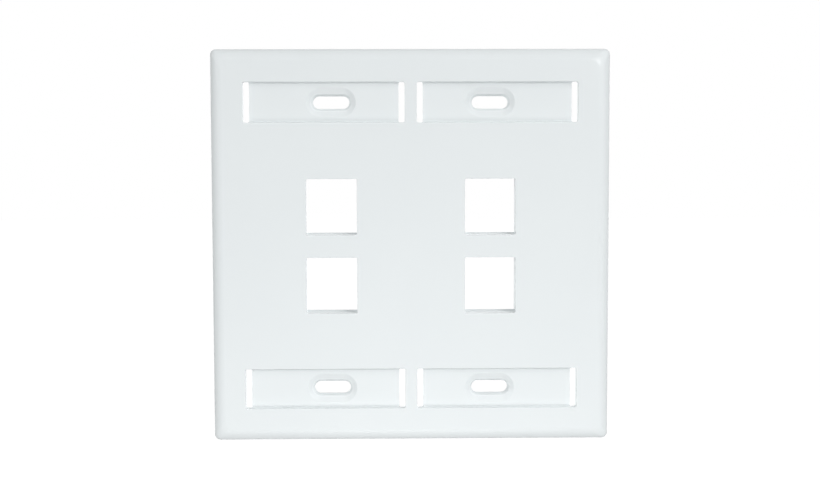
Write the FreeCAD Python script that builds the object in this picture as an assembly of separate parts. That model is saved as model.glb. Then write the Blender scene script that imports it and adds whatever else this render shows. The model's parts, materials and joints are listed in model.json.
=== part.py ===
"""Two-gang wall faceplate for four keystone jacks, moulded in one piece of gloss white plastic.

X runs across the plate, Z up it and Y into the wall. The origin is the centre of the plate on the
wall surface (Y = 0), so the front face lies at Y = -plate_depth and the jack housings reach past the
wall surface, into the box behind it. All sizes are in millimetres and degrees.
"""
import FreeCAD, Part
import math
import os

from FreeCAD import Vector

# Plate: outline, rim and the crowned edge of its front
plate_width = 115.9
plate_height = 114.3
plate_depth = 6.0
corner_radius = 1.6
rim_draft = 2.0
crown_width = 2.9
crown_slope = 38.0
edge_radius = 1.8
face_corner_radius = 3.0

# Hollow back
front_wall = 2.3
rim_wall = 1.9
cavity_draft = 3.0

# Gangs: the pitch of the two yokes that the plate covers, and of the screws that hold it to them
gang_pitch = 46.04
screw_pitch = 83.34

# Keystone ports: opening in the front, room behind it, and what a jack hooks and latches on
port_pitch = 22.86
port_width = 14.7
port_height = 16.3
port_corner_radius = 0.4
port_side_room = 0.5
sill_depth = 6.5
sill_rise = 0.4
hook_pocket_height = 1.5
hook_pocket_depth = 1.7
hook_bar_drop = 0.7
latch_pocket_height = 3.2
catch_depth = 1.7
catch_reach = 1.4
catch_lead = 1.0
housing_depth = 9.8
housing_wall = 1.2
housing_corner_radius = 0.8

# Label recesses, each with a slot at both ends for the clips of a clear window
label_width = 46.7
label_height = 11.7
label_gap = 3.44
label_depth = 1.25
label_corner_radius = 0.5
label_draft = 15.0
label_floor = 1.4
clip_slot_width = 1.8
pad_margin = 1.3

# Screw slots: a gentle dish, a steep countersink and a straight land
slot_length = 10.5
slot_width = 3.6
dish_length = 14.3
dish_width = 8.5
dish_depth = 0.95
sink_width = 0.55
sink_depth = 0.9
land_depth = 0.9
boss_wall = 0.7

# Ribs across the hollow back
rib_thickness = 1.2
rib_gap_to_wall = 0.8

# Break of every opening's edge in the front face
edge_break = 0.1

# How far a cut runs past the face that it opens
clear_past = 1.0

# Spans that each arc of the front's edge is lofted through
arc_spans = 4

front = -plate_depth


def at_depth(depth):
    """Y of a level that lies this far behind the front face."""
    return front + depth


def rounded_outline(width, height, radius, y, x=0.0, z=0.0):
    """Closed wire of a rounded rectangle, centred on x and z, at level y."""
    half_w = width / 2
    half_h = height / 2
    bend = radius * (1 - math.sqrt(0.5))
    edges = []
    for sx, sz in ((1, 1), (-1, 1), (-1, -1), (1, -1)):
        side = Vector(x + sx * half_w, y, z + sz * (half_h - radius))
        middle = Vector(x + sx * (half_w - bend), y, z + sz * (half_h - bend))
        end = Vector(x + sx * (half_w - radius), y, z + sz * half_h)
        arc = (side, middle, end) if sx == sz else (end, middle, side)
        edges.append(arc)
    segments = []
    for index, arc in enumerate(edges):
        following = edges[(index + 1) % len(edges)]
        segments.append(Part.Arc(*arc).toShape())
        segments.append(Part.LineSegment(arc[2], following[0]).toShape())
    return Part.Wire(segments)


def rounded_block(width, height, radius, y0, y1, x=0.0, z=0.0):
    """Rounded-rectangle prism from level y0 to level y1."""
    outline = rounded_outline(width, height, radius, y0, x, z)
    return Part.Face(outline).extrude(Vector(0, y1 - y0, 0))


def obround_outline(length, width, y, x, z):
    """Wire of a slot with full-radius ends, this long and wide, at level y."""
    half_run = (length - width) / 2
    radius = width / 2
    top_left = Vector(x - half_run, y, z + radius)
    top_right = Vector(x + half_run, y, z + radius)
    low_right = Vector(x + half_run, y, z - radius)
    low_left = Vector(x - half_run, y, z - radius)
    right = Vector(x + half_run + radius, y, z)
    left = Vector(x - half_run - radius, y, z)
    return Part.Wire([
        Part.LineSegment(top_left, top_right).toShape(),
        Part.Arc(top_right, right, low_right).toShape(),
        Part.LineSegment(low_right, low_left).toShape(),
        Part.Arc(low_left, left, top_left).toShape(),
    ])


def profile_block(points, x, width):
    """Prism of a (depth, z) outline, centred on x and this wide."""
    corners = [Vector(x - width / 2, at_depth(depth), z) for depth, z in points]
    outline = Part.makePolygon(corners + corners[:1])
    return Part.Face(outline).extrude(Vector(width, 0, 0))


def arc_steps(radius, start, end, origin):
    """(along, down) points of an arc that turns from one slope to another, starting at origin."""
    turned = math.radians(start)
    steps = []
    for step in range(arc_spans + 1):
        angle = math.radians(start + (end - start) * step / arc_spans)
        along = origin[0] + radius * (math.sin(angle) - math.sin(turned))
        down = origin[1] + radius * (math.cos(turned) - math.cos(angle))
        steps.append((along, down))
    return steps


def front_arcs():
    """The two arcs of the front's edge as (inset, depth) steps, from the flat face outwards.

    A wide arc leaves the flat face, and a tight one turns on from it to the drafted side.
    """
    crown_radius = crown_width / math.sin(math.radians(crown_slope))
    crown = arc_steps(crown_radius, 0, crown_slope, (0, 0))
    edge = arc_steps(edge_radius, crown_slope, 90 - rim_draft, crown[-1])
    reach, drop = edge[-1]
    whole = reach + (plate_depth - drop) * math.tan(math.radians(rim_draft))
    return [[(whole - along, down) for along, down in arc] for arc in (crown, edge)]


def outer_body():
    """The plate's outer form: a drafted rim under a crowned front whose corners soften inwards."""
    arcs = front_arcs()
    face_inset = arcs[0][0][0]
    lofts = []
    for arc in arcs:
        sections = []
        for inset, depth in arc:
            radius = corner_radius + (face_corner_radius - corner_radius) * inset / face_inset
            width = plate_width - 2 * inset
            height = plate_height - 2 * inset
            sections.append(rounded_outline(width, height, radius, at_depth(depth)))
        lofts.append(Part.makeLoft(sections, True, False))
    foot = rounded_outline(plate_width, plate_height, corner_radius, 0)
    rim = Part.makeLoft([sections[-1], foot], True, True)
    return lofts[0].fuse([lofts[1], rim])


def hollow():
    """The drafted hollow behind the front wall."""
    ceiling = at_depth(front_wall)
    spread = 2 * (plate_depth - front_wall) * math.tan(math.radians(cavity_draft))
    width = plate_width - 2 * rim_wall
    height = plate_height - 2 * rim_wall
    mouth = rounded_outline(width, height, corner_radius, 0)
    top = rounded_outline(width - spread, height - spread, corner_radius, ceiling)
    return Part.makeLoft([mouth, top], True, True)


def gang_centres():
    """X of the two gangs."""
    return (-gang_pitch / 2, gang_pitch / 2)


def port_centres():
    """(x, z) of the four keystone ports."""
    return [(x, z) for x in gang_centres() for z in (-port_pitch / 2, port_pitch / 2)]


def label_centres():
    """(x, z) of the four label recesses."""
    offset = (label_width + label_gap) / 2
    return [(x, z) for x in (-offset, offset) for z in (-screw_pitch / 2, screw_pitch / 2)]


def screw_centres():
    """(x, z) of the four screw slots."""
    return [(x, z) for x in gang_centres() for z in (-screw_pitch / 2, screw_pitch / 2)]


def housing_span():
    """Lowest and highest Z of a column of port housings."""
    reach = port_pitch / 2 + port_height / 2 + housing_wall
    return (-reach - hook_pocket_height, reach + latch_pocket_height)


def housings():
    """The two column blocks that the port housings are cut from."""
    low, high = housing_span()
    width = port_width + 2 * (port_side_room + housing_wall)
    blocks = []
    for x in gang_centres():
        blocks.append(rounded_block(
            width, high - low, housing_corner_radius,
            at_depth(front_wall / 2), at_depth(housing_depth), x, (low + high) / 2,
        ))
    return blocks


def label_pads():
    """Thickened wall behind each label recess."""
    blocks = []
    for x, z in label_centres():
        blocks.append(rounded_block(
            label_width + 2 * pad_margin, label_height + 2 * pad_margin, pad_margin,
            at_depth(front_wall / 2), at_depth(label_depth + label_floor), x, z,
        ))
    return blocks


def screw_bosses():
    """Obround boss behind each screw slot."""
    length = dish_length + 2 * boss_wall
    width = dish_width + 2 * boss_wall
    height = label_depth + dish_depth + sink_depth + land_depth - front_wall / 2
    bosses = []
    for x, z in screw_centres():
        outline = obround_outline(length, width, at_depth(front_wall / 2), x, z)
        bosses.append(Part.Face(outline).extrude(Vector(0, height, 0)))
    return bosses


def ribs():
    """Grid of ribs that ties the rim, the housings and the pads together."""
    low, high = housing_span()
    pad_edge = screw_pitch / 2 - label_height / 2 - pad_margin
    levels = ((low - pad_edge) / 2, 0.0, (high + pad_edge) / 2)
    housing_side = gang_pitch / 2 + port_width / 2 + port_side_room + housing_wall
    side = (housing_side + plate_width / 2 - rim_wall) / 2
    y0 = at_depth(front_wall / 2)
    depth = -rib_gap_to_wall - y0
    across = plate_width - rim_wall
    upward = plate_height - rim_wall
    bars = []
    for z in levels:
        corner = Vector(-across / 2, y0, z - rib_thickness / 2)
        bars.append(Part.makeBox(across, depth, rib_thickness, corner))
    for x in (-side, 0.0, side):
        corner = Vector(x - rib_thickness / 2, y0, -upward / 2)
        bars.append(Part.makeBox(rib_thickness, depth, upward, corner))
    return bars


def opening_cut(width, height, radius, x, z, inner):
    """What a drafted opening takes away: a broken edge at the front face, then down to inner."""
    wide = width + 2 * edge_break
    high = height + 2 * edge_break
    outlines = [
        rounded_outline(wide, high, radius + edge_break, front - clear_past, x, z),
        rounded_outline(wide, high, radius + edge_break, front, x, z),
        rounded_outline(width, height, radius, at_depth(edge_break), x, z),
        inner,
    ]
    return Part.makeLoft(outlines, True, True)


def port_cut(x, z):
    """Everything that one keystone port takes away: the front opening, and the room behind it with
    the hook pocket under its sill and the latch pocket and chamfered catch over its top."""
    bottom = z - port_height / 2
    top = z + port_height / 2
    sill_slope = sill_rise / (sill_depth - edge_break)
    wall_rise = (front_wall - edge_break) * sill_slope
    sill_end = bottom + sill_rise
    hook_end = sill_depth + hook_pocket_depth
    bar_top = sill_end - hook_bar_drop
    catch_start = housing_depth - catch_depth
    catch_z = top + latch_pocket_height - catch_reach
    room = profile_block([
        (front_wall, bottom + wall_rise),
        (sill_depth, sill_end),
        (sill_depth, bottom - hook_pocket_height),
        (hook_end, bottom - hook_pocket_height),
        (hook_end, bar_top),
        (housing_depth + clear_past, bar_top),
        (housing_depth + clear_past, catch_z + catch_lead),
        (housing_depth, catch_z + catch_lead),
        (housing_depth - catch_lead, catch_z),
        (catch_start, catch_z),
        (catch_start, top + latch_pocket_height),
        (front_wall, top + latch_pocket_height),
    ], x, port_width + 2 * port_side_room)
    inner = rounded_outline(
        port_width, port_height - wall_rise, port_corner_radius,
        at_depth(front_wall), x, z + wall_rise / 2,
    )
    opening = opening_cut(port_width, port_height, port_corner_radius, x, z, inner)
    return opening.fuse(room)


def label_cut(x, z):
    """One label recess, drafted all round, with its two clip slots."""
    taper = 2 * (label_depth - edge_break) * math.tan(math.radians(label_draft))
    floor = rounded_outline(
        label_width - taper, label_height - taper, label_corner_radius,
        at_depth(label_depth), x, z,
    )
    cut = opening_cut(label_width, label_height, label_corner_radius, x, z, floor)
    through = at_depth(label_depth + label_floor) + clear_past
    offset = (label_width - clip_slot_width) / 2
    slots = [rounded_block(
        clip_slot_width, label_height, label_corner_radius,
        at_depth(edge_break), through, x + side, z,
    ) for side in (-offset, offset)]
    return cut.fuse(slots)


def screw_cut(x, z):
    """One screw slot: dish, countersink and land, from the recess floor to the back of the boss."""
    floor = at_depth(label_depth)
    sink_top = floor + dish_depth
    dish = obround_outline(dish_length, dish_width, floor, x, z)
    step = obround_outline(slot_length + 2 * sink_width, slot_width + 2 * sink_width, sink_top, x, z)
    land = obround_outline(slot_length, slot_width, sink_top + sink_depth, x, z)
    upper = Part.makeLoft([dish, step], True, True)
    lower = Part.makeLoft([step, land], True, True)
    straight = Part.Face(land).extrude(Vector(0, land_depth + clear_past, 0))
    return upper.fuse([lower, straight])


def faceplate():
    """The whole moulding as one solid."""
    cavity = hollow()
    shell = outer_body().cut(cavity)
    backing = [piece.common(cavity) for piece in ribs() + label_pads() + screw_bosses()]
    solid = shell.fuse(backing + housings())
    cuts = [port_cut(x, z) for x, z in port_centres()]
    cuts += [label_cut(x, z) for x, z in label_centres()]
    cuts += [screw_cut(x, z) for x, z in screw_centres()]
    return solid.cut(cuts).removeSplitter()


def main():
    os.makedirs("parts", exist_ok=True)
    plate = faceplate()
    print("solids", len(plate.Solids), "valid", plate.isValid(), "volume", round(plate.Volume, 1))
    plate.Solids[0].exportStep("parts/faceplate.step")


main()
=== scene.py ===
import bmesh
import bpy
import json
import math
from mathutils import Matrix, Vector


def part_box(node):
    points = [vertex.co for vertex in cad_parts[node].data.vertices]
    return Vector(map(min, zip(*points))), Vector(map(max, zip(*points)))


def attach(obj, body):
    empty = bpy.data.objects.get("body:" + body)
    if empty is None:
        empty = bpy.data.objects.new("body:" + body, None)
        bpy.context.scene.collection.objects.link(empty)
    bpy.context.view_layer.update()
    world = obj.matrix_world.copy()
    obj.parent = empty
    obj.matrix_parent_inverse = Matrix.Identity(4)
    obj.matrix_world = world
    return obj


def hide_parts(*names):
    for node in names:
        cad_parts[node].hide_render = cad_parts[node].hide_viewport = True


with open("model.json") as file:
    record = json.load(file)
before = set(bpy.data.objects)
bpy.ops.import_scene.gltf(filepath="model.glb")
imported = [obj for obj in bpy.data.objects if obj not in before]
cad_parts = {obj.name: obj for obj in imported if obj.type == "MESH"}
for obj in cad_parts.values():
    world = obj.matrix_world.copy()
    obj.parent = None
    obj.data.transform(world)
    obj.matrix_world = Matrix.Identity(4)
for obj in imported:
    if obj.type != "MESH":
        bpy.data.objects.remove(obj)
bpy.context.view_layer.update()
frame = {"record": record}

# Plate body: the two-gang plate of gloss white plastic, injection-moulded in one shot. A crowned
# edge runs round its flat front, and its drafted rim stands on the wall, held there by four screws.
# Sizes are in millimetres until the mesh is done.
MM = 0.001
box_low, box_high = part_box("faceplate")
half_width = box_high.x / MM
half_height = box_high.z / MM
front = box_low.y / MM
wall = 0
rim_draft = math.radians(2)
crown_width = 2.9
crown_slope = math.radians(38)
edge_radius = 1.8
rim_corner = 1.6
face_corner = 3.0
foot_break = 0.2
foot_inset = 1.0
arc_spans = 8
ease_spans = 5
corner_spans = 8


def eased(path):
    """The path with its corners rounded; each point ends with how far its rounding reaches."""
    rounded = []
    for index, (*point, reach) in enumerate(path):
        if reach == 0:
            rounded.append(tuple(point))
            continue
        here = Vector(point)
        before = (Vector(path[index - 1][:-1]) - here).normalized() * reach
        after = (Vector(path[(index + 1) % len(path)][:-1]) - here).normalized() * reach
        for step in range(ease_spans + 1):
            t = step / ease_spans
            rounded.append(tuple(here + before * (1 - t) ** 2 + after * t ** 2))
    return rounded


def add_stack(mesh, x, z, rings):
    """Adds a closed body through rings of (half width, half height, corner radius, level, rise)."""
    loops = []
    for half_x, half_z, radius, y, rise in rings:
        loop = []
        for quarter in range(4):
            side_x = half_x - radius if quarter in (0, 3) else radius - half_x
            side_z = half_z - radius if quarter < 2 else radius - half_z
            for step in range(corner_spans + 1):
                angle = math.pi / 2 * (quarter + step / corner_spans)
                across = x + side_x + radius * math.cos(angle)
                upward = z + rise + side_z + radius * math.sin(angle)
                loop.append(mesh.verts.new((across, y, upward)))
        loops.append(loop)
    for near, far in zip(loops, loops[1:]):
        for index, vert in enumerate(near):
            after = (index + 1) % len(near)
            mesh.faces.new((vert, near[after], far[after], far[index]))
    mesh.faces.new(loops[0])
    mesh.faces.new(loops[-1][::-1])


def mesh_object(mesh, name):
    """A scene object from a bmesh, with no doubled points and its faces turned outwards."""
    bmesh.ops.remove_doubles(mesh, verts=mesh.verts, dist=1e-5)
    bmesh.ops.recalc_face_normals(mesh, faces=mesh.faces)
    data = bpy.data.meshes.new(name)
    mesh.to_mesh(data)
    mesh.free()
    made = bpy.data.objects.new(name, data)
    bpy.context.scene.collection.objects.link(made)
    return made


crown_radius = crown_width / math.sin(crown_slope)
edge_path = [(0, 0)]
for radius, start, end in (
    (crown_radius, 0, crown_slope),
    (edge_radius, crown_slope, math.pi / 2 - rim_draft),
):
    along, down = edge_path[-1]
    for step in range(1, arc_spans + 1):
        angle = start + (end - start) * step / arc_spans
        edge_path.append((
            along + radius * (math.sin(angle) - math.sin(start)),
            down + radius * (math.cos(start) - math.cos(angle)),
        ))
reach, drop = edge_path[-1]
face_inset = reach + (wall - front - drop) * math.tan(rim_draft)
side_path = [(face_inset - along, front + down, 0) for along, down in edge_path]
side_path += [(0, wall, foot_break), (foot_inset, wall, 0)]
rings = []
for inset, y in eased(side_path):
    corner = rim_corner + (face_corner - rim_corner) * inset / face_inset
    rings.append((half_width - inset, half_height - inset, corner, y, 0))
mesh = bmesh.new()
add_stack(mesh, 0, 0, rings)
plate = mesh_object(mesh, "moulded_plate")

# Hollow back: the mould's core leaves a front wall of even thickness and a rim that thins a little
# towards the wall, so that the plate comes off the core.
front_wall = 2.3
ceiling = front + front_wall
rim_thickness = 1.9
core_draft = math.radians(3)
ceiling_fillet = 0.6
least_corner = 0.05
# A flare begins clear past the face that it opens or stands on, turns in a skin's thickness off
# that face, and is rounded over this share of its width.
clear = 1.0
skin = 0.004
flare_share = 0.95


def add_block(mesh, x, z, half_x, half_z, radius, path):
    """Adds a body whose outline grows along a path of (x offset, z offset, level, rise, easing)."""
    rings = []
    for offset_x, offset_z, y, rise in eased(path):
        corner = max(radius + offset_z, least_corner)
        rings.append((half_x + offset_x, half_z + offset_z, corner, y, rise))
    add_stack(mesh, x, z, rings)


def flare(width, y, out):
    """Path points by which a cut, or the foot of a boss, widens smoothly into the face at y."""
    return [
        (width, width, y + out * clear, 0, 0),
        (width, width, y + out * skin, 0, 0),
        (0, 0, y, 0, flare_share * width),
    ]


def close(inset, y):
    """Path points that end a block in a flat face at y, a little inside its outline."""
    return [(-inset, -inset, y, 0, 0)]


def combine(mesh, operation):
    """Joins a mesh to the plate or cuts it away."""
    tool = mesh_object(mesh, "tool")
    modifier = plate.modifiers.new("combine", "BOOLEAN")
    modifier.operation = operation
    modifier.solver = "MANIFOLD"
    modifier.object = tool
    graph = bpy.context.evaluated_depsgraph_get()
    result = bpy.data.meshes.new_from_object(plate.evaluated_get(graph))
    plate.modifiers.clear()
    old = plate.data
    plate.data = result
    bpy.data.meshes.remove(old)
    bpy.data.objects.remove(tool)


lean = (wall - ceiling) * math.tan(core_draft)
core_half_width = half_width - rim_thickness
core_half_height = half_height - rim_thickness
path = flare(foot_break, wall, 1) + [(-lean, -lean, ceiling, 0, ceiling_fillet)]
path += close(lean + 2 * ceiling_fillet, ceiling)
mesh = bmesh.new()
add_block(mesh, 0, 0, core_half_width, core_half_height, rim_corner, path)
combine(mesh, "DIFFERENCE")

# Ribs: a grid of thin walls, moulded with the plate, that ties the rim, the label pads and the jack
# housings together. They stop short of the wall, so that only the rim stands on it. The places of
# the pads and housings, which set the grid out, come first.
mounts = {mount["name"]: mount for mount in frame["record"]["mounts"]}
screw_dims = mounts["screw_slots"]["dims"]
gang_x = screw_dims["spacing_x_mm"] / 2
row_z = screw_dims["spacing_y_mm"] / 2
ports = [
    (mount["pos_m"][0] / MM, mount["pos_m"][2] / MM)
    for name, mount in mounts.items() if name.endswith("_port")
]
port_half_width = 7.35
port_half_height = 8.15
side_room = 0.5
housing_wall = 1.2
hook_pocket = 1.5
latch_pocket = 3.2
housing_half_width = port_half_width + side_room + housing_wall
housing_reach = max(z for x, z in ports) + port_half_height + housing_wall
housing_low = -housing_reach - hook_pocket
housing_high = housing_reach + latch_pocket
label_half_width = 23.35
label_half_height = 5.85
pad_margin = 1.3
pad_edge = row_z - label_half_height - pad_margin
rib_half_width = 0.6
rib_flat = 0.1
rib_corner = rib_half_width - rib_flat
rib_into_rim = 0.6
rib_inset = rim_thickness - rib_into_rim
rib_gap = 0.8
rib_back = wall - rib_gap
rib_root = 0.3
rib_round = 0.3
rib_side = (gang_x + housing_half_width + half_width - rim_thickness) / 2
# The upright ribs end a hair lower than the level ones, so that their edges don't coincide.
upright_drop = 0.03


def rib_path(back):
    """Path of a rib from its rounded root in the front wall to its rounded free edge."""
    return flare(rib_root, ceiling, -1) + [(0, 0, back, 0, rib_round)] + close(rib_corner, back)


mesh = bmesh.new()
for z in ((housing_low - pad_edge) / 2, 0, (housing_high + pad_edge) / 2):
    path = rib_path(rib_back)
    add_block(mesh, 0, z, half_width - rib_inset, rib_half_width, rib_half_width, path)
combine(mesh, "UNION")
mesh = bmesh.new()
for x in (-rib_side, 0, rib_side):
    path = rib_path(rib_back - upright_drop)
    add_block(mesh, x, 0, rib_half_width, half_height - rib_inset, rib_corner, path)
combine(mesh, "UNION")

# Label pads and screw bosses: the wall is thicker behind each label recess, and an obround boss
# stands on it behind each screw slot. Both are moulded with the plate.
label_gap = 3.44
label_x = label_half_width + label_gap / 2
labels = [(x, z) for x in (-label_x, label_x) for z in (-row_z, row_z)]
screws = [(x, z) for x in (-gang_x, gang_x) for z in (-row_z, row_z)]
recess_depth = 1.25
recess_floor = front + recess_depth
recess_wall = 1.4
pad_back = recess_floor + recess_wall
pad_overlap = 0.1
pad_front = recess_floor - pad_overlap
pad_half_width = label_half_width + pad_margin
pad_half_height = label_half_height + pad_margin
pad_round = 0.15
slot_half_length = screw_dims["slot_length_mm"] / 2
slot_half_width = screw_dims["hole_r_mm"]
dish_half_length = 7.15
dish_half_width = 4.25
dish_depth = 0.95
sink_depth = 0.9
land_depth = 0.9
boss_wall = 0.7
boss_half_length = dish_half_length + boss_wall
boss_half_width = dish_half_width + boss_wall
boss_back = recess_floor + dish_depth + sink_depth + land_depth
boss_root = 0.35
boss_round = 0.3
mesh = bmesh.new()
for x, z in labels:
    path = [(0, 0, pad_front, 0, 0), (0, 0, pad_back, 0, pad_round)] + close(pad_margin, pad_back)
    add_block(mesh, x, z, pad_half_width, pad_half_height, pad_margin, path)
combine(mesh, "UNION")
mesh = bmesh.new()
for x, z in screws:
    path = flare(boss_root, pad_back, -1) + [(0, 0, boss_back, 0, boss_round)]
    path += close(boss_wall, boss_back)
    add_block(mesh, x, z, boss_half_length, boss_half_width, boss_half_width, path)
combine(mesh, "UNION")

# Jack housings: two columns moulded with the plate. Each port in them has a sloped sill that a
# jack's fixed lug passes over, a hook pocket under the end of the sill, and a latch pocket over the
# top that ends in a chamfered catch.
housing_corner = 0.8
housing_root = 0.4
housing_round = 0.25
housing_depth = 9.8
housing_back = front + housing_depth
# The solid's slopes start this far behind the face, which sets how far they rise.
draft_start = 0.1
sill_start_y = front + draft_start
sill_depth = 6.5
sill_end_y = front + sill_depth
sill_rise = 0.4
sill_round = 0.12
wall_rise = sill_rise * (ceiling - sill_start_y) / (sill_end_y - sill_start_y)
hook_depth = 1.7
hook_back = sill_end_y + hook_depth
bar_drop = 0.7
catch_depth = 1.7
catch_front = housing_back - catch_depth
catch_reach = 1.4
catch_lead = 1.0
catch_round = 0.2
pocket_round = 0.25
mouth_flare = 0.2
mouth_depth = 0.4
mouth_inset = 0.02
housing_middle = (housing_low + housing_high) / 2
housing_half_height = (housing_high - housing_low) / 2
mesh = bmesh.new()
for x in (-gang_x, gang_x):
    path = flare(housing_root, ceiling, -1) + [(0, 0, housing_back, 0, housing_round)]
    path += close(housing_wall / 2, housing_back)
    add_block(
        mesh, x, housing_middle, housing_half_width, housing_half_height, housing_corner, path,
    )
combine(mesh, "UNION")


def add_prism(mesh, x, half_x, outline):
    """Adds a bar along X with this (level, z) outline."""
    loops = [
        [mesh.verts.new((x + side, y, z)) for y, z in outline]
        for side in (-half_x, half_x)
    ]
    for index in range(len(outline)):
        after = (index + 1) % len(outline)
        mesh.faces.new((loops[0][index], loops[0][after], loops[1][after], loops[1][index]))
    mesh.faces.new(loops[0])
    mesh.faces.new(loops[1][::-1])


rooms = bmesh.new()
mouths = bmesh.new()
room_half_width = port_half_width + side_room
for x, z in ports:
    bottom = z - port_half_height
    top = z + port_half_height
    sill_end = bottom + sill_rise
    bar_top = sill_end - bar_drop
    catch_z = top + latch_pocket - catch_reach
    outline = eased([
        (ceiling, bottom + wall_rise, 0),
        (sill_end_y, sill_end, sill_round),
        (sill_end_y, bottom - hook_pocket, pocket_round),
        (hook_back, bottom - hook_pocket, pocket_round),
        (hook_back, bar_top, pocket_round),
        (housing_back + clear, bar_top, 0),
        (housing_back + clear, catch_z + catch_lead, 0),
        (housing_back, catch_z + catch_lead, 0),
        (housing_back - catch_lead, catch_z, catch_round),
        (catch_front, catch_z, catch_round),
        (catch_front, top + latch_pocket, pocket_round),
        (ceiling, top + latch_pocket, pocket_round),
    ])
    add_prism(rooms, x, room_half_width, outline)
    mouth_top = catch_z + catch_lead
    mouth_middle = (bar_top + mouth_top) / 2
    mouth_half_height = (mouth_top - bar_top) / 2
    path = flare(mouth_flare, housing_back, 1) + close(mouth_inset, housing_back - mouth_depth)
    add_block(mouths, x, mouth_middle, room_half_width, mouth_half_height, least_corner, path)
combine(rooms, "DIFFERENCE")
combine(mouths, "DIFFERENCE")

# Port openings: plain rectangles through the front wall, with a small round at the front edge where
# the two halves of the mould meet. The lower wall runs on into the sill.
edge_round = 0.2
port_corner = 0.4
rise = wall_rise / 2
past = 2 * skin
mesh = bmesh.new()
for x, z in ports:
    path = flare(edge_round, front, -1)
    path += [
        (0, -rise, ceiling, rise, 0),
        (0, -rise - past, ceiling + edge_round, rise + past, 0),
    ]
    add_block(mesh, x, z, port_half_width, port_half_height, port_corner, path)
combine(mesh, "DIFFERENCE")

# Label recesses: shallow drafted pockets, each with a slot through the wall at both ends that the
# clips of a clear label window snap into.
label_corner = 0.5
label_draft = math.radians(15)
recess_fillet = 0.2
taper = (recess_depth - draft_start) * math.tan(label_draft)
clip_half_width = 0.9
clip_setback = 0.12
clip_flare = 0.15
mesh = bmesh.new()
for x, z in labels:
    path = flare(edge_round, front, -1) + [(-taper, -taper, recess_floor, 0, recess_fillet)]
    path += close(taper + clear, recess_floor)
    add_block(mesh, x, z, label_half_width, label_half_height, label_corner, path)
combine(mesh, "DIFFERENCE")
mesh = bmesh.new()
for x, z in labels:
    for side in (-1, 1):
        path = [(0, 0, front + clip_setback, 0, 0)] + flare(clip_flare, pad_back, 1)[::-1]
        clip_x = x + side * (label_half_width - clip_half_width)
        add_block(mesh, clip_x, z, clip_half_width, label_half_height, label_corner, path)
combine(mesh, "DIFFERENCE")

# Screw slots: a gentle dish takes the screw's head below the label, a steep countersink seats it
# and a straight land guides its shank. They are moulded through the bosses.
dish_ease = 0.2
sink_width = 0.55
sink_ease = 0.12
land_ease = 0.12
land_flare = 0.15
dish_x = dish_half_length - slot_half_length
dish_z = dish_half_width - slot_half_width
sink_top = recess_floor + dish_depth
mesh = bmesh.new()
for x, z in screws:
    path = [
        (dish_x + dish_ease, dish_z + dish_ease, recess_floor - clear / 2, 0, 0),
        (dish_x + dish_ease, dish_z + dish_ease, recess_floor - skin, 0, 0),
        (dish_x, dish_z, recess_floor, 0, dish_ease),
        (sink_width, sink_width, sink_top, 0, sink_ease),
        (0, 0, sink_top + sink_depth, 0, land_ease),
    ]
    path += flare(land_flare, boss_back, 1)[::-1]
    add_block(mesh, x, z, slot_half_length, slot_half_width, slot_half_width, path)
combine(mesh, "DIFFERENCE")

# Ejector marks: the shallow round prints that the mould's pins leave on the back of the label pads.
pin_radius = 1.5
pin_depth = 0.15
pin_offset = 14
mesh = bmesh.new()
for x, z in labels:
    for side in (-pin_offset, pin_offset):
        path = [(0, 0, pad_back + clear, 0, 0), (0, 0, pad_back - pin_depth, 0, 0)]
        add_block(mesh, x + side, z, pin_radius, pin_radius, pin_radius, path)
combine(mesh, "DIFFERENCE")

# Finish of the plate: gloss white plastic. Its face has the faint waviness of a moulded skin and a
# polished gloss, and its back the duller, grainier surface of an unpolished core.
smooth_angle = math.radians(32)
plate.data.transform(Matrix.Scale(MM, 4))
plate.data.shade_smooth()
plate.data.set_sharp_from_angle(angle=smooth_angle)
weighted = plate.modifiers.new("even_normals", "WEIGHTED_NORMAL")
weighted.keep_sharp = True
weighted.weight = 100

cloudy_white = (0.800, 0.840, 0.851, 1)
clear_white = (0.810, 0.850, 0.859, 1)
# Depths behind the face between which its polish gives way to the finish of the core.
polish_depth = 1.9
core_depth = 2.4
# Most of a noise lies between these two values.
noise_low = 0.3
noise_high = 0.7
plastic = bpy.data.materials.new("plate_plastic")
plastic.use_nodes = True
nodes = plastic.node_tree.nodes
links = plastic.node_tree.links
shader = nodes["Principled BSDF"]
shader.inputs["IOR"].default_value = 1.5
coords = nodes.new("ShaderNodeTexCoord")


def noise(scale, detail):
    """Noise over the object's own space, in features per metre."""
    texture = nodes.new("ShaderNodeTexNoise")
    texture.inputs["Scale"].default_value = scale
    texture.inputs["Detail"].default_value = detail
    links.new(coords.outputs["Object"], texture.inputs["Vector"])
    return texture.outputs["Fac"]


def ramp(source, low, high, first, second):
    """Maps source from first at low to second at high."""
    mapped = nodes.new("ShaderNodeMapRange")
    mapped.inputs["From Min"].default_value = low
    mapped.inputs["From Max"].default_value = high
    mapped.inputs["To Min"].default_value = first
    mapped.inputs["To Max"].default_value = second
    links.new(source, mapped.inputs["Value"])
    return mapped.outputs["Result"]


def bump(height, strength, distance, before=None):
    """Bump from this height, distance metres high at most, on top of an earlier one."""
    node = nodes.new("ShaderNodeBump")
    node.inputs["Strength"].default_value = strength
    node.inputs["Distance"].default_value = distance
    links.new(height, node.inputs["Height"])
    if before:
        links.new(before, node.inputs["Normal"])
    return node.outputs["Normal"]


split = nodes.new("ShaderNodeSeparateXYZ")
links.new(coords.outputs["Object"], split.inputs[0])
polish_end = (front + polish_depth) * MM
core_start = (front + core_depth) * MM
core = ramp(split.outputs["Y"], polish_end, core_start, first=0, second=1)

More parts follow.
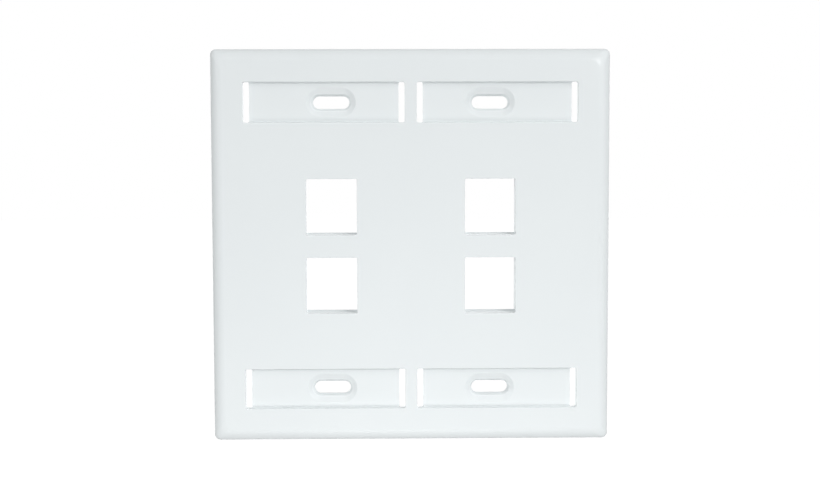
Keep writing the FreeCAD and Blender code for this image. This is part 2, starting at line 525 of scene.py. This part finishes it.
tint = nodes.new("ShaderNodeValToRGB")
tint.color_ramp.elements[0].position = noise_low
tint.color_ramp.elements[0].color = cloudy_white
tint.color_ramp.elements[1].position = noise_high
tint.color_ramp.elements[1].color = clear_white
links.new(noise(scale=35, detail=3), tint.inputs["Fac"])
links.new(tint.outputs["Color"], shader.inputs["Base Color"])

# The face's roughness stays below 0.27 all over: a range across that value renders blotchy.
face_gloss = ramp(noise(scale=260, detail=4), noise_low, noise_high, first=0.2, second=0.26)
core_gloss = ramp(noise(scale=900, detail=4), noise_low, noise_high, first=0.42, second=0.52)
gloss = nodes.new("ShaderNodeMix")
links.new(core, gloss.inputs["Factor"])
links.new(face_gloss, gloss.inputs["A"])
links.new(core_gloss, gloss.inputs["B"])
links.new(gloss.outputs["Result"], shader.inputs["Roughness"])

wave = bump(noise(scale=70, detail=2), strength=0.12, distance=0.0004)
grain_height = nodes.new("ShaderNodeMath")
grain_height.operation = "MULTIPLY"
links.new(noise(scale=2600, detail=3), grain_height.inputs[0])
links.new(ramp(core, 0, 1, first=0.15, second=1), grain_height.inputs[1])
grain = bump(grain_height.outputs[0], strength=0.3, distance=0.00006, before=wave)
links.new(grain, shader.inputs["Normal"])

plate.data.materials.clear()
plate.data.materials.append(plastic)
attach(plate, "root")
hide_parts("faceplate")

# Floor: a plain pale studio floor well below the plate, which shows as white and keeps the plate's
# soft shadow. It is only there for the pictures.
floor_half = 6
floor_z = -0.3
floor_mesh = bpy.data.meshes.new("floor")
floor_mesh.from_pydata([
    (-floor_half, -floor_half, floor_z),
    (floor_half, -floor_half, floor_z),
    (floor_half, floor_half, floor_z),
    (-floor_half, floor_half, floor_z),
], [], [(0, 1, 2, 3)])
floor = bpy.data.objects.new("floor", floor_mesh)
bpy.context.scene.collection.objects.link(floor)


def seen_white(tree, lit, bright):
    """Mixes a lit shader with a bright one that only the camera, gloss and clear materials see."""
    path = tree.nodes.new("ShaderNodeLightPath")
    first = tree.nodes.new("ShaderNodeMath")
    first.operation = "ADD"
    second = tree.nodes.new("ShaderNodeMath")
    second.operation = "ADD"
    second.use_clamp = True
    tree.links.new(path.outputs["Is Camera Ray"], first.inputs[0])
    tree.links.new(path.outputs["Is Glossy Ray"], first.inputs[1])
    tree.links.new(first.outputs[0], second.inputs[0])
    tree.links.new(path.outputs["Is Transmission Ray"], second.inputs[1])
    mix = tree.nodes.new("ShaderNodeMixShader")
    tree.links.new(second.outputs[0], mix.inputs[0])
    tree.links.new(lit, mix.inputs[1])
    tree.links.new(bright, mix.inputs[2])
    return mix.outputs[0]


floor_paint = bpy.data.materials.new("floor_paint")
floor_paint.use_nodes = True
floor_mesh.materials.append(floor_paint)
floor_tree = floor_paint.node_tree
paint = floor_tree.nodes["Principled BSDF"]
paint.inputs["Base Color"].default_value = (0.3, 0.3, 0.3, 1)
paint.inputs["Roughness"].default_value = 1.0
paint.inputs["Specular IOR Level"].default_value = 0.0
glow = floor_tree.nodes.new("ShaderNodeEmission")
glow.inputs["Strength"].default_value = 0.96
both = floor_tree.nodes.new("ShaderNodeAddShader")
floor_tree.links.new(paint.outputs[0], both.inputs[0])
floor_tree.links.new(glow.outputs[0], both.inputs[1])
floor_surface = floor_tree.nodes["Material Output"].inputs["Surface"]
floor_tree.links.new(seen_white(floor_tree, paint.outputs[0], both.outputs[0]), floor_surface)

# Studio: a white room lit evenly by three large soft lamps in front and a small low one. A tiny
# lamp that only gloss sees sets a glint on the rounded corner, and two lamps behind, named as seen
# from there, light the back and the sills.
world = bpy.data.worlds.new("studio")
world.use_nodes = True
bpy.context.scene.world = world
world_tree = world.node_tree
ambient = world_tree.nodes["Background"]
ambient.inputs["Color"].default_value = (1, 1, 1, 1)
ambient.inputs["Strength"].default_value = 0.2
white = world_tree.nodes.new("ShaderNodeBackground")
white.inputs["Color"].default_value = (1, 1, 1, 1)
world_surface = world_tree.nodes["World Output"].inputs["Surface"]
world_tree.links.new(seen_white(world_tree, ambient.outputs[0], white.outputs[0]), world_surface)


def softbox(name, place, size, watts, aim=(0, 0, 0)):
    """Square area lamp at place that points at aim; the camera and the gloss don't see it."""
    data = bpy.data.lights.new(name, "AREA")
    data.size = size
    data.energy = watts
    lamp = bpy.data.objects.new(name, data)
    bpy.context.scene.collection.objects.link(lamp)
    lamp.location = place
    lamp.rotation_euler = (Vector(aim) - Vector(place)).to_track_quat("-Z", "Y").to_euler()
    lamp.visible_glossy = False
    lamp.visible_camera = False
    return lamp


softbox("left", (-0.615, -0.615, 0.233), size=0.4, watts=2.95)
softbox("right", (0.615, -0.615, 0.233), size=0.4, watts=2.9)
softbox("upper_right", (0.45, -0.45, 0.636), size=0.4, watts=1.9)
softbox("low", (0, -0.2, -0.18), size=0.1, watts=0.216, aim=(0, 0, -0.06))
glint = softbox("glint", (0.33, -0.84, 0.245), size=0.06, watts=0.6)
glint.visible_diffuse = False
glint.visible_glossy = True
softbox("behind_left", (0.5, 0.68, 0.18), size=0.3, watts=3.8)
softbox("behind_right", (-0.5, 0.7, -0.1), size=0.4, watts=2.2)

# Camera: nearly straight on, a little above the plate's middle and to its left.
distance = 0.36
left_of_middle = 0.00582
above_middle = 0.02624
yaw = math.radians(0.877)
pitch = math.radians(3.875)
roll = math.radians(-0.143)
camera_data = bpy.data.cameras.new("camera")
camera_data.sensor_width = 36
camera_data.lens = 54.606
camera = bpy.data.objects.new("camera", camera_data)
bpy.context.scene.collection.objects.link(camera)
forward = Vector((
    math.sin(yaw) * math.cos(pitch), math.cos(yaw) * math.cos(pitch), -math.sin(pitch),
))
level = forward.cross(Vector((0, 0, 1))).normalized()
upright = level.cross(forward)
right = level * math.cos(roll) + upright * math.sin(roll)
up = upright * math.cos(roll) - level * math.sin(roll)
eye = Vector((-left_of_middle, front * MM - distance, above_middle))
camera.matrix_world = Matrix((
    (right.x, up.x, -forward.x, eye.x),
    (right.y, up.y, -forward.y, eye.y),
    (right.z, up.z, -forward.z, eye.z),
    (0, 0, 0, 1),
))
bpy.context.scene.camera = camera
bpy.context.scene.view_settings.view_transform = "Standard"
